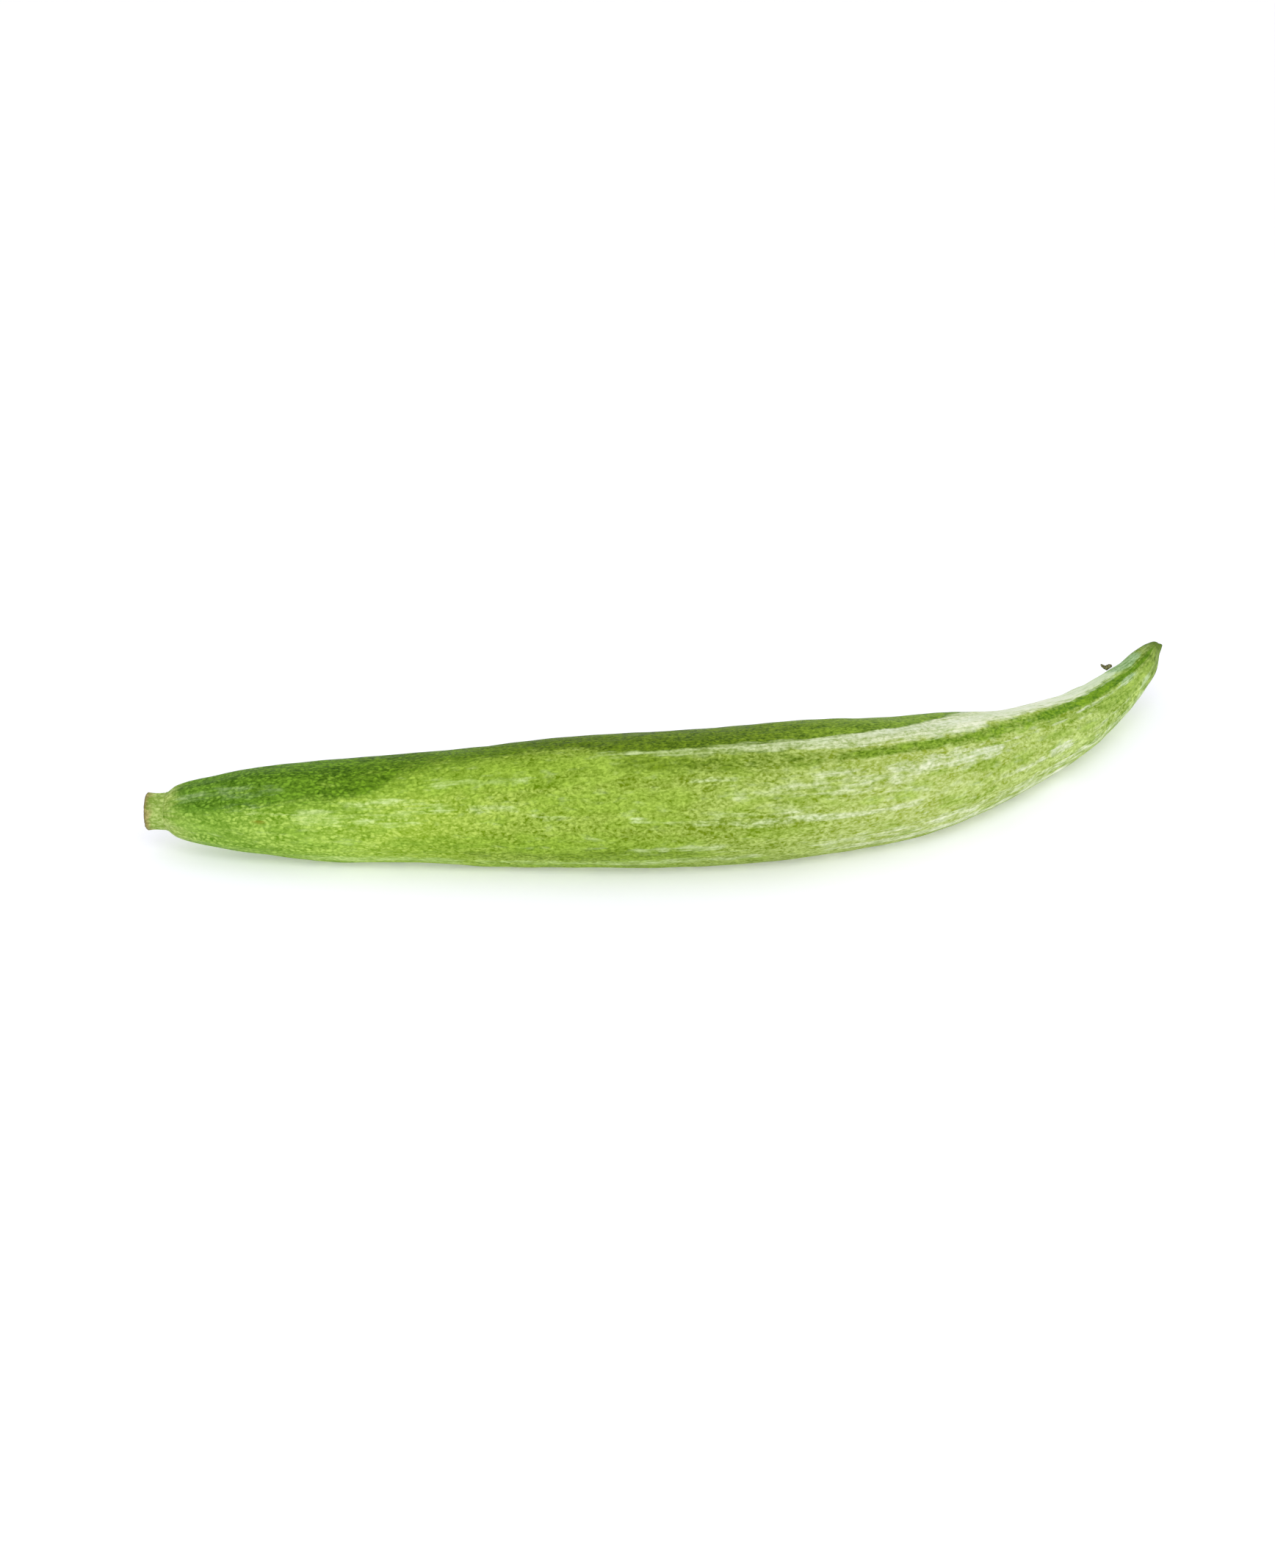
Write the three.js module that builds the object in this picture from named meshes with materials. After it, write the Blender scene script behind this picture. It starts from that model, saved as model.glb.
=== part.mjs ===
// A short snake gourd (Trichosanthes cucumerina), picked, at rest on a flat surface.
//
// Millimetres, +Z up. The fruit runs along X, with its stalk end at -X and its blossom end at +X.
// It bends in the plane of the surface: the blossom end swings round towards +Y and lifts a little.
// The origin is under the middle of the part's box, at the height of the surface.
//
// Three pieces: the fruit, the stub of the stalk that it was cut from, and a dry scrap of tendril
// that clings to the skin near the blossom end.

import * as THREE from 'three';

// ---------------------------------------------------------------- driving dimensions

const LENGTH = 430; // along the bent axis, from the cut of the stalk to the blossom scar
const STALK_LENGTH = 7.2;
const STALK_RADIUS = 6.7;
const PIECE_GAP = 0.3; // between two pieces that touch

const RIBS = 5; // low rounded ribs, from the stalk to the scar
const RIB_HEIGHT = 0.012; // as a share of the radius
const FIRST_RIB = 64; // degrees round the fruit, up from its -Y side
const RIB_TWIST = 12; // degrees that the ribs wind towards +Y, where the fruit bends most

// Each table runs along the axis: [share of LENGTH, value]. The fruit's radius starts at the stalk.
const RADIUS = [
  [0.0175, 6.9], [0.024, 8], [0.045, 10.9], [0.07, 13.5], [0.12, 16.5], [0.2, 18.6], [0.3, 21.4],
  [0.42, 23.7], [0.5, 23.8], [0.58, 22.9], [0.66, 20.2], [0.75, 15.3], [0.86, 11.1], [0.93, 8.1],
  [0.975, 5.5], [1, 1.8],
];
// Height of the axis over the surface. Where it is less than the radius, the soft flesh is
// pressed flat by its own weight, which is what the fruit rests on.
const HEIGHT = [
  [0, 15.2], [0.07, 16.3], [0.12, 17.4], [0.2, 18.6], [0.3, 20.9], [0.42, 23.1], [0.5, 23.2],
  [0.58, 22.3], [0.66, 19.6], [0.75, 15.1], [0.86, 12.1], [0.93, 12.8], [0.975, 15.8], [1, 18.6],
];
// Direction of the axis seen from above, in degrees from +X towards +Y.
const HEADING = [
  [0, -5], [0.25, -1.5], [0.38, 0.5], [0.5, 11.5], [0.6, 27], [0.7, 41], [0.8, 51.5], [0.9, 58],
  [1, 59],
];

// How finely the round pieces are faceted.
const SIDES = 32;
const FRUIT_RINGS = 86;
const AXIS_STEPS = 400;

// The dry scrap: where it clings, and the thickness of the flake.
const SCRAP_STATION = 0.928; // share of LENGTH
const SCRAP_AROUND = 137; // degrees round the fruit, up from its -Y side
const SCRAP_THICKNESS = 0.8;

// ---------------------------------------------------------------- smooth tables

// A smooth function through a table's points, with no overshoot worth naming.
function smooth(table) {
  const slopes = [];
  const last = table.length - 1;
  for (let i = 0; i < last; i++) {
    slopes.push((table[i + 1][1] - table[i][1]) / (table[i + 1][0] - table[i][0]));
  }
  const tangents = [slopes[0]];
  for (let i = 1; i < last; i++) {
    const before = table[i][0] - table[i - 1][0];
    const after = table[i + 1][0] - table[i][0];
    tangents.push((slopes[i - 1] * after + slopes[i] * before) / (before + after));
  }
  tangents.push(slopes[last - 1]);

  return (t) => {
    let i = 0;
    while (i < last - 1 && t > table[i + 1][0]) i++;
    const step = table[i + 1][0] - table[i][0];
    const u = (t - table[i][0]) / step;
    const v = 1 - u;
    return (1 + 2 * u) * v * v * table[i][1]
      + u * v * v * step * tangents[i]
      + u * u * (3 - 2 * u) * table[i + 1][1]
      - u * u * v * step * tangents[i + 1];
  };
}

const radiusAt = smooth(RADIUS);
const headingAt = smooth(HEADING);
const heightAt = smooth(HEIGHT);

// ---------------------------------------------------------------- the bent axis

// Points along the axis, equally spaced by arc length.
function traceAxis() {
  const step = LENGTH / AXIS_STEPS;
  const points = [new THREE.Vector3(0, 0, heightAt(0))];
  for (let i = 1; i <= AXIS_STEPS; i++) {
    const next = points[i - 1].clone();
    next.z = heightAt(i / AXIS_STEPS);
    const rise = next.z - points[i - 1].z;
    const run = Math.sqrt(step * step - rise * rise);
    const heading = THREE.MathUtils.degToRad(headingAt((i - 0.5) / AXIS_STEPS));
    next.x += run * Math.cos(heading);
    next.y += run * Math.sin(heading);
    points.push(next);
  }
  return points;
}

const axis = traceAxis();

// The axis point at a distance along it, with the directions along, towards the -Y side, and up.
function frameAt(distance) {
  const place = (distance / LENGTH) * AXIS_STEPS;
  const i = Math.min(Math.max(Math.floor(place), 0), AXIS_STEPS - 1);
  const point = axis[i].clone().lerp(axis[i + 1], place - i);
  const before = axis[Math.max(i - 1, 0)];
  const after = axis[Math.min(i + 2, AXIS_STEPS)];
  const along = after.clone().sub(before).normalize();
  const side = along.clone().cross(new THREE.Vector3(0, 0, 1)).normalize();
  const up = side.clone().cross(along);
  return { point, along, side, up };
}

// ---------------------------------------------------------------- the skin

// How far the ribs raise the skin, as a factor on the radius. They fade out at the stalk.
function ribFactor(t, around) {
  const twist = RIB_TWIST * THREE.MathUtils.smoothstep(t, 0.55, 0.8);
  const wave = Math.cos(RIBS * THREE.MathUtils.degToRad(around - FIRST_RIB - twist));
  const fade = THREE.MathUtils.smoothstep(t, 0.02, 0.12);
  return 1 + RIB_HEIGHT * fade * wave;
}

// A point at a radius and an angle round the axis. Nothing reaches below the surface.
function skinPoint(distance, around, radius) {
  const { point, side, up } = frameAt(distance);
  const angle = THREE.MathUtils.degToRad(around);
  const reach = radius * ribFactor(distance / LENGTH, around);
  point.addScaledVector(side, reach * Math.cos(angle));
  point.addScaledVector(up, reach * Math.sin(angle));
  point.z = Math.max(point.z, 0);
  return point;
}

// Turns a profile of (radius, distance along the axis) round, and bends it along the axis.
function turnedAlongAxis(profile) {
  const geometry = new THREE.LatheGeometry(profile, SIDES);
  const places = geometry.getAttribute('position');
  for (let i = 0; i < places.count; i++) {
    const x = places.getX(i);
    const z = places.getZ(i);
    const around = THREE.MathUtils.radToDeg(Math.atan2(z, x));
    const moved = skinPoint(places.getY(i), around, Math.hypot(x, z));
    places.setXYZ(i, moved.x, moved.y, moved.z);
  }
  geometry.computeVertexNormals();
  return geometry;
}

// ---------------------------------------------------------------- the fruit

function fruitGeometry() {
  const start = STALK_LENGTH + PIECE_GAP;
  const scarDepth = 0.5; // the blossom scar closes the tip with a small dome
  const end = LENGTH - scarDepth;
  const profile = [new THREE.Vector2(0, start)];
  for (let i = 0; i <= FRUIT_RINGS; i++) {
    const even = i / FRUIT_RINGS;
    const eased = (1 - Math.cos(Math.PI * even)) / 2;
    const distance = start + (end - start) * (0.6 * even + 0.4 * eased); // closer rings at the ends
    profile.push(new THREE.Vector2(radiusAt(distance / LENGTH), distance));
  }
  profile.push(new THREE.Vector2(0, LENGTH));
  return turnedAlongAxis(profile);
}

// ---------------------------------------------------------------- the stalk stub

function stalkGeometry() {
  const rim = 0.9; // the cut edge is rounded
  return turnedAlongAxis([
    new THREE.Vector2(0, 0),
    new THREE.Vector2(STALK_RADIUS - rim, 0),
    new THREE.Vector2(STALK_RADIUS - 0.3 * rim, 0.3 * rim),
    new THREE.Vector2(STALK_RADIUS, rim),
    new THREE.Vector2(STALK_RADIUS, STALK_LENGTH),
    new THREE.Vector2(0, STALK_LENGTH),
  ]);
}

// ---------------------------------------------------------------- the dry scrap of tendril

// A bent flake: its foot lies along the skin towards the blossom end, and its stem curls up.
function scrapGeometry() {
  const outline = new THREE.Shape();
  outline.moveTo(-1.1, 0.5);
  outline.lineTo(0.6, 0);
  outline.lineTo(4, 0.1);
  outline.quadraticCurveTo(2.6, 1.4, 1.1, 1.3);
  outline.quadraticCurveTo(0, 1.9, -0.4, 3.6);
  outline.lineTo(-1.2, 3.5);
  outline.quadraticCurveTo(-1.1, 1.8, -1.1, 0.5);
  return new THREE.ExtrudeGeometry(outline, {
    depth: SCRAP_THICKNESS,
    bevelEnabled: false,
    curveSegments: 4,
  });
}

// Stands the flake's outline on the skin: its X runs along the fruit and its Y away from the axis.
function placeScrap(mesh) {
  const distance = SCRAP_STATION * LENGTH;
  const { point, along } = frameAt(distance);
  const foot = skinPoint(distance, SCRAP_AROUND, radiusAt(SCRAP_STATION));
  const outward = foot.clone().sub(point).normalize();
  const ahead = skinPoint(distance + 4, SCRAP_AROUND, radiusAt(SCRAP_STATION + 4 / LENGTH));
  const slope = ahead.sub(foot).normalize();
  const across = slope.clone().cross(outward).normalize();
  outward.copy(across).cross(slope);
  mesh.quaternion.setFromRotationMatrix(new THREE.Matrix4().makeBasis(slope, outward, across));
  mesh.position.copy(foot).addScaledVector(outward, PIECE_GAP);
  mesh.position.addScaledVector(across, -SCRAP_THICKNESS / 2);
}

// ---------------------------------------------------------------- the part

function piece(name, geometry, color, roughness) {
  const material = new THREE.MeshStandardMaterial({ color, roughness, metalness: 0 });
  const mesh = new THREE.Mesh(geometry, material);
  mesh.name = name;
  return mesh;
}

const fruit = piece('fruit', fruitGeometry(), 0x86ad3c, 0.45);
const stalkStub = piece('stalk_stub', stalkGeometry(), 0xa9b07a, 0.8);
const scrap = piece('dried_tendril_scrap', scrapGeometry(), 0x5a4a2c, 0.9);
placeScrap(scrap);

const gourd = new THREE.Group();
gourd.add(fruit, stalkStub, scrap);

// The origin goes under the middle of the box.
const box = new THREE.Box3().setFromObject(gourd);
const middle = box.getCenter(new THREE.Vector3());
gourd.position.set(-middle.x, -middle.y, -box.min.z);

export default gourd;
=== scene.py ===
# %% [markdown]
# # A short snake gourd on a pale floor
#
# One picked snake gourd lies bent on a table. It is a natural thing, so it has only three pieces: the
# fruit, the stub of its stalk, and a dry scrap of tendril that clings to the skin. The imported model
# fixes where each piece is and how large it is. This lesson gives each one a fine surface and a
# finish, and fits the result to that model's box.

# %% Load the fixed frame
import math
from types import SimpleNamespace
import bpy
import numpy as np
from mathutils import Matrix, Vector


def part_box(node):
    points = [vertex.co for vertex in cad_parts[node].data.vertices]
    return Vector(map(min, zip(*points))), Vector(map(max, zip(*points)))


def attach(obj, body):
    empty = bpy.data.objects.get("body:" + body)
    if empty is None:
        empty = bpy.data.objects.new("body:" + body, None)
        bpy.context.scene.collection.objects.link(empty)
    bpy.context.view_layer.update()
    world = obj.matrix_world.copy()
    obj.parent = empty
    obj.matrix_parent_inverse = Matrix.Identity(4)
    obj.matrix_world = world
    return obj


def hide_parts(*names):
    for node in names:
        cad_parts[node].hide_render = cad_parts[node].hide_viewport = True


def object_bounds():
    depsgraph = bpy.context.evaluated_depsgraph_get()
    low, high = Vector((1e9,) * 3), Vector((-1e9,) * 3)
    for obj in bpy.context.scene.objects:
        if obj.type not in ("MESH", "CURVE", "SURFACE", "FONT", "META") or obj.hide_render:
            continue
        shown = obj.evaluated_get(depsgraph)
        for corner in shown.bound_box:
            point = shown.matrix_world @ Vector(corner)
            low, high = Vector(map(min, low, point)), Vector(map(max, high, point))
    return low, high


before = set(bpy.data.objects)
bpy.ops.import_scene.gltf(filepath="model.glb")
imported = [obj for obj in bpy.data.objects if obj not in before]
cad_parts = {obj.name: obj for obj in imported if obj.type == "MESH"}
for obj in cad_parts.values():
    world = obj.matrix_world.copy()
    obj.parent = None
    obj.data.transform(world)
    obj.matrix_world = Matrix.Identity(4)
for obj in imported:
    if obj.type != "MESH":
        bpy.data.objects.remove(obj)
cad_low, cad_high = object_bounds()
print("nodes:", sorted(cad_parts))
print("box of the packed model in mm:", [round(1000 * side, 1) for side in cad_high - cad_low])

# %% [markdown]
# ## The shape of the fruit, in a few tables
#
# A gourd is a round section swept along a bent line. Modelling tools could sculpt it, but a sweep by
# formula gives every point two honest labels: how far along the fruit it is, and how far round. The
# skin pattern later needs exactly those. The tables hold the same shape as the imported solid. The
# first number of each pair is a share of the length.

# %% Driving sizes
LENGTH = 430.0  # mm along the bent axis, from the cut of the stalk to the blossom scar
STALK_LENGTH = 7.2  # mm of it that are bare stalk
STALK_RADIUS = 6.7  # mm

RADIUS = [  # mm
    (0.0175, 6.9), (0.024, 8), (0.045, 10.9), (0.07, 13.5), (0.12, 16.5), (0.2, 18.6), (0.3, 21.4),
    (0.42, 23.7), (0.5, 23.8), (0.58, 22.9), (0.66, 20.2), (0.75, 15.3), (0.86, 11.1), (0.93, 8.1),
    (0.975, 5.5), (0.991, 3.7), (1, 2.4),
]
HEIGHT = [  # mm from the table up to the axis
    (0, 15.2), (0.07, 16.3), (0.12, 17.4), (0.2, 18.6), (0.3, 20.9), (0.42, 23.1), (0.5, 23.2),
    (0.58, 22.3), (0.66, 19.6), (0.75, 15.1), (0.86, 12.1), (0.93, 12.8), (0.975, 15.8), (1, 18.1),
]
HEADING = [  # degrees that the axis turns away from +X, seen from above
    (0, -5), (0.25, -1.5), (0.38, 0.5), (0.5, 11.5), (0.6, 27), (0.7, 41), (0.8, 51.5), (0.9, 58),
    (1, 59),
]
print("length along the bend:", LENGTH, "mm")

# %% [markdown]
# A smooth curve through each table is a cubic between neighbouring points, whose slope at a point is
# the weighted mean of the slopes on its two sides. `ease` is the S-shaped blend that fades one thing
# into another, and `between` fades a thing in and out again.


# %% Smooth tables
def smooth(table, share):
    x, y = np.array(table, float).T
    step = np.diff(x)
    slope = np.diff(y) / step
    inner = (slope[:-1] * step[1:] + slope[1:] * step[:-1]) / (step[1:] + step[:-1])
    tangent = np.concatenate([slope[:1], inner, slope[-1:]])
    i = np.clip(np.searchsorted(x, share, side="right") - 1, 0, len(step) - 1)
    u = (share - x[i]) / step[i]
    v = 1 - u
    return (
        (1 + 2 * u) * v * v * y[i]
        + u * v * v * step[i] * tangent[i]
        + u * u * (3 - 2 * u) * y[i + 1]
        - u * u * v * step[i] * tangent[i + 1]
    )


def radius_at(distance):
    return smooth(RADIUS, np.maximum(distance / LENGTH, RADIUS[0][0]))


print("thickest place:", round(2 * radius_at(np.arange(LENGTH)).max(), 1), "mm across")


# %% Soft blends
def ease(value, low, high):
    u = np.clip((value - low) / (high - low), 0, 1)
    return u * u * (3 - 2 * u)


def between(value, rise, fall):
    return ease(value, *rise) * (1 - ease(value, *fall))


# %% [markdown]
# ## The bent axis
#
# The axis is traced step by step: each step keeps its length, climbs as the height table says, and
# turns as the heading table says. At each point three directions ride along with it: along the
# fruit, out of its -Y side, and up. They turn with the bend but never roll.

# %% Trace the axis
AXIS_STEPS = 860  # of half a millimetre each


def unit(vectors):
    return vectors / np.linalg.norm(vectors, axis=1, keepdims=True)


def trace_axis():
    share = np.linspace(0, 1, AXIS_STEPS + 1)
    height = smooth(HEIGHT, share)
    rise = np.diff(height)
    run = np.sqrt((LENGTH / AXIS_STEPS) ** 2 - rise**2)
    heading = np.radians(smooth(HEADING, (share[1:] + share[:-1]) / 2))
    x = np.concatenate([[0], np.cumsum(run * np.cos(heading))])
    y = np.concatenate([[0], np.cumsum(run * np.sin(heading))])
    return np.stack([x, y, height], axis=1)


axis = trace_axis()
ahead = unit(np.gradient(axis, axis=0))
sideways = unit(np.cross(ahead, [0.0, 0.0, 1.0]))
upwards = np.cross(sideways, ahead)
print("the axis ends", np.round(axis[-1], 1), "mm from the cut of the stalk")

# %% [markdown]
# `place` turns the two labels and a reach from the axis into a point. Angles are in degrees, up from
# the -Y side and on over the top. Nothing reaches below the table: there the soft flesh is pressed
# flat. `twist` says how far the ribs and marks have turned round the fruit at a distance along it.


# %% Place a point by distance, angle and reach
def place(distance, around, reach):
    spot = np.clip(distance / LENGTH * AXIS_STEPS, 0, AXIS_STEPS)
    i = np.minimum(spot.astype(int), AXIS_STEPS - 1)
    part = (spot - i)[..., None]
    centre, side, up = (a[i] * (1 - part) + a[i + 1] * part for a in (axis, sideways, upwards))
    angle = np.radians(around)[..., None]
    point = centre + reach[..., None] * (side * np.cos(angle) + up * np.sin(angle))
    point[..., 2] = np.maximum(point[..., 2], 0)
    return point


def on_axis(distance):
    return place(np.array(distance), np.array(0.0), np.array(0.0))


print("the axis halfway along, in mm:", np.round(on_axis(LENGTH / 2), 1))

# %% Labels of the rings, and their twist
TWIST = 12.0  # degrees, all of it in the thin half


def twist(distance):
    return TWIST * ease(distance / LENGTH, 0.55, 0.8)


def grid(distances, sides):
    around = np.arange(sides) * 360.0 / sides
    return np.meshgrid(distances, around, indexing="ij")


# %% [markdown]
# ## The relief of the skin
#
# Five low ribs run from end to end. On them the real skin adds soft lumps and dimples, shallow
# flutes that run out of the stalk, narrow ribs that gather at the tip, one crest along the upper
# front, and fine lengthwise wrinkles. A noise texture would tear where the section closes, so each
# random part is a sum of waves that run a whole number of times round the fruit. A pair of numbers
# in brackets says where a form fades in or out, in millimetres along the fruit.


# %% Waves that close round the fruit
def wave(turns, angle):
    return np.cos(np.radians(turns * angle))


def ripples(distance, around, count, lobes, lengths, seed):
    draw = np.random.default_rng(seed)
    total = np.zeros(np.broadcast(distance, around).shape)
    for _ in range(count):
        turns = draw.integers(lobes[0], lobes[1] + 1)
        length = draw.uniform(*lengths) * draw.choice([-1, 1])
        phase = draw.uniform(0, 2 * math.pi)
        total += np.cos(turns * np.radians(around) + 2 * math.pi * distance / length + phase)
    return total / math.sqrt(count / 2)


# %% Ribs, lumps and wrinkles
RIBS = 5
RIB_HEIGHT = 0.012  # as a share of the radius
FIRST_RIB = 64.0  # degrees round the fruit
FLUTES = 10
FLUTE_DEPTH = 0.14  # mm on the stalk
FLUTE_DEEPER = 0.1  # mm more where they run onto the fruit
TIP_RIBS = 8
TIP_RIB_HEIGHT = 0.2  # mm
CREST_HEIGHT = 0.45  # mm
CREST_WIDTH = 6  # degrees
LUMP_HEIGHT, DIMPLE_DEPTH, WRINKLE_HEIGHT = 0.2, 0.05, 0.03  # mm
LUMP_WAVES = dict(count=14, lobes=(1, 4), lengths=(45, 140), seed=3)  # lengths in mm
DIMPLE_WAVES = dict(count=24, lobes=(6, 16), lengths=(12, 30), seed=8)
WRINKLE_WAVES = dict(count=40, lobes=(26, 64), lengths=(40, 220), seed=21)


def rib_factor(distance, around):
    ribs = wave(RIBS, around - FIRST_RIB - twist(distance))
    return 1 + RIB_HEIGHT * ease(distance / LENGTH, 0.02, 0.12) * ribs


def relief(distance, around):
    skin = around - twist(distance)
    lumps = LUMP_HEIGHT * ripples(distance, skin, **LUMP_WAVES)
    dimples = DIMPLE_DEPTH * ripples(distance, skin, **DIMPLE_WAVES)
    wrinkles = WRINKLE_HEIGHT * ripples(distance, skin, **WRINKLE_WAVES)
    crest = np.exp(-(((skin - FIRST_RIB + 180) % 360 - 180) / CREST_WIDTH) ** 2)
    crest = CREST_HEIGHT * crest * between(distance, (140, 200), (320, 390))
    flutes = (FLUTE_DEPTH + FLUTE_DEEPER * ease(distance, 8, 14)) * wave(FLUTES, skin)
    flutes *= 1 - ease(distance, 14, 70)
    tip_ribs = TIP_RIB_HEIGHT * wave(TIP_RIBS, skin - FIRST_RIB)
    tip_ribs *= between(distance, (345, 410), (416, 428))
    body = between(distance, (8, 40), (405, 426))
    return (lumps + dimples + wrinkles + crest) * body + flutes + tip_ribs


sample = relief(*grid(np.linspace(0, LENGTH, 200), 72))
print("relief from", round(sample.min(), 2), "to", round(sample.max(), 2), "mm")

# %% [markdown]
# ## Mesh tools
#
# Every piece here is a stack of rings closed by a fan at each end. `tube` builds that mesh, and
# stores numbers that the materials need as attributes of its points.


# %% Store a mark on the points of a tube
def store(mesh, mark, values, sides):
    """The two end points get the mean of the ring beside them."""
    ends = [values[:sides].mean(0)[None], values[-sides:].mean(0)[None]]
    values = np.concatenate([values, *ends])
    kind, field = ("FLOAT_VECTOR", "vector") if values.shape[1] == 3 else ("FLOAT", "value")
    mesh.attributes.new(mark, kind, "POINT").data.foreach_set(field, values.ravel())


# %% Build a closed tube from rings of points
def tube(name, rings, start, end, marks):
    count, sides = rings.shape[:2]
    points = np.concatenate([rings.reshape(-1, 3), [start], [end]])
    i = np.arange(count - 1)[:, None] * sides
    j = np.arange(sides)[None, :]
    k = (j + 1) % sides
    quads = np.stack([i + j, i + sides + j, i + sides + k, i + k], axis=-1).reshape(-1, 4)
    first, last = count * sides, count * sides + 1
    tail = (count - 1) * sides
    fans = [(first, a, (a + 1) % sides) for a in range(sides)]
    fans += [(last, tail + (a + 1) % sides, tail + a) for a in range(sides)]
    mesh = bpy.data.meshes.new(name)
    mesh.from_pydata(points.tolist(), [], quads.tolist() + fans)
    mesh.polygons.foreach_set("use_smooth", [True] * len(mesh.polygons))
    for mark, values in marks.items():
        store(mesh, mark, values.reshape(count * sides, -1), sides)
    piece = bpy.data.objects.new(name, mesh)
    bpy.context.scene.collection.objects.link(piece)
    print(name, "has", len(mesh.vertices), "points and", len(mesh.polygons), "faces")
    return piece


# %% [markdown]
# A texture laid on the bent fruit would cut through it like the grain of a carved block. So each
# point also gets its place on an unbent fruit. There are two of these. One is in millimetres and has
# an even radius, so that lengthwise streaks run with the skin where the fruit tapers. The other
# counts in flecks instead: it divides by the size that flecks have there, so they grow slowly from
# dots near the stalk to short dashes near the tip.

# %% Labels in millimetres
EVEN_RADIUS = 23.8  # mm


def unbent(distance, around, radius):
    angle = np.radians(around - twist(distance))
    return np.stack([radius * np.cos(angle), radius * np.sin(angle), distance], axis=-1)


# %% Labels in flecks
FLECK_WIDTH = [(0, 1.1), (0.2, 1.1), (0.4, 1.2), (0.6, 1.15), (0.8, 1.3), (1, 1.2)]  # mm
FLECK_LENGTH = [  # mm
    (0, 1.7), (0.14, 1.9), (0.28, 1.8), (0.45, 1.8), (0.62, 2.2), (0.74, 2.5), (0.86, 2.6), (1, 2.6),
]
stations = np.linspace(0, LENGTH, 2000)
flecks_passed = np.cumsum(np.gradient(stations) / smooth(FLECK_LENGTH, stations / LENGTH))


def counted_in_flecks(distance, around, radius):
    labels = unbent(distance, around, radius / smooth(FLECK_WIDTH, distance / LENGTH))
    labels[..., 2] = np.interp(distance, stations, flecks_passed)
    return labels


print("flecks from end to end:", round(flecks_passed[-1]))

# %% [markdown]
# ## Marks on the skin, as strokes of a brush
#
# Besides its fine flecks, the skin carries a few marks that the eye knows it by: a pale stripe along
# the crest that opens into a pale band, a deep green band under it, short milky streaks, and pale
# and green clouds. Noise alone would never put them there. So each mark is painted as one stroke: a
# strength, and then the points that it runs through. A point says how far along the fruit it is in
# millimetres, how far round in degrees, and the half width of the stroke there in degrees.

# %% Pale strokes
PALE_STROKES = [
    # the crest stripe, and the band that it opens into
    (0.35, (154, 70, 3), (166, 68, 3), (178, 65, 3)),
    (0.65, (172, 65.5, 3), (182, 64.5, 3.5), (192, 65, 4.5), (205, 67, 6), (228, 67, 6)),
    (0.9, (194, 67, 3.5), (212, 67, 4.5), (230, 67, 4.5)),
    (1.15, (222, 66, 4), (240, 64.5, 5.5), (262, 65, 6.5),
     (276, 68, 9.5), (288, 72, 12.5), (300, 78, 14.5)),
    (1.0, (296, 75, 12), (320, 84, 15.5), (345, 91, 18.5), (370, 92, 20), (396, 92, 21)),
    (0.4, (394, 92, 20), (402, 92, 18)),
    # the second band, from the middle to the tip
    (0.4, (183, 39, 2), (204, 38, 2)),
    (0.55, (226, 37, 4), (242, 38, 4)),
    (0.57, (250, 33, 7), (280, 29, 10), (300, 30, 8)),
    (0.1, (298, 35, 3), (345, 37, 3)),
    (0.1, (345, 28, 3), (362, 30, 3)),
    (0.3, (345, 40, 3), (368, 41, 4), (396, 42, 5)),
    (0.45, (386, 42, 6), (404, 40, 8)),
    # the third band, low on the front
    (0.5, (178, 4.5, 2.5), (206, 2, 4)),
    (0.55, (202, 2, 5), (234, 0, 3), (264, -2, 3)),
    (0.2, (190, 8, 8), (230, 8, 8)),
    (0.3, (296, -2, 4), (324, -2, 5)),
    (0.4, (322, 0, 7), (342, -1, 7)),
    (0.2, (350, 1, 4), (392, 4, 5)),
    (0.5, (398, 4, 9), (412, 3, 10)),
    (0.3, (336, -22, 8), (364, -22, 8)),
    # clouds of the stalk half
    (0.4, (52, 14, 8), (75, 13, 9), (100, 13, 8)),
    (0.5, (66, 31, 4), (84, 33, 5), (96, 30, 4)),
    (0.2, (66, 27, 7), (112, 27, 9)),
    (0.4, (86, 22, 3), (112, 21, 3)),
    (0.35, (100, 47, 4), (136, 48, 5)),
    # clouds of the middle
    (0.45, (168, 7, 4), (178, 7, 4)),
    (0.45, (212, 15, 3), (222, 15, 3)),
    (0.55, (240, 38, 4), (247, 12, 4)),
    (0.3, (198, 28, 9), (262, 23, 14)),
    (0.45, (165, -24, 4), (200, -20, 5)),
    # the pale underside: partly the skin's own paler colour, partly painted light bounced up from the
    # white floor
    (0.65, (54, -48, 10), (80, -47, 9), (112, -48, 9)),
    (0.3, (112, -46, 7), (150, -45, 7)),
    (0.5, (146, -45, 6), (180, -42, 6), (212, -39, 6)),
    (0.65, (232, -44, 5), (262, -47, 6), (300, -49, 9), (345, -50, 10)),
    (0.25, (225, -32, 10), (330, -28, 14), (395, -25, 14)),
    (0.2, (352, -20, 15), (410, -18, 15)),
]
print("pale strokes:", len(PALE_STROKES))
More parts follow.
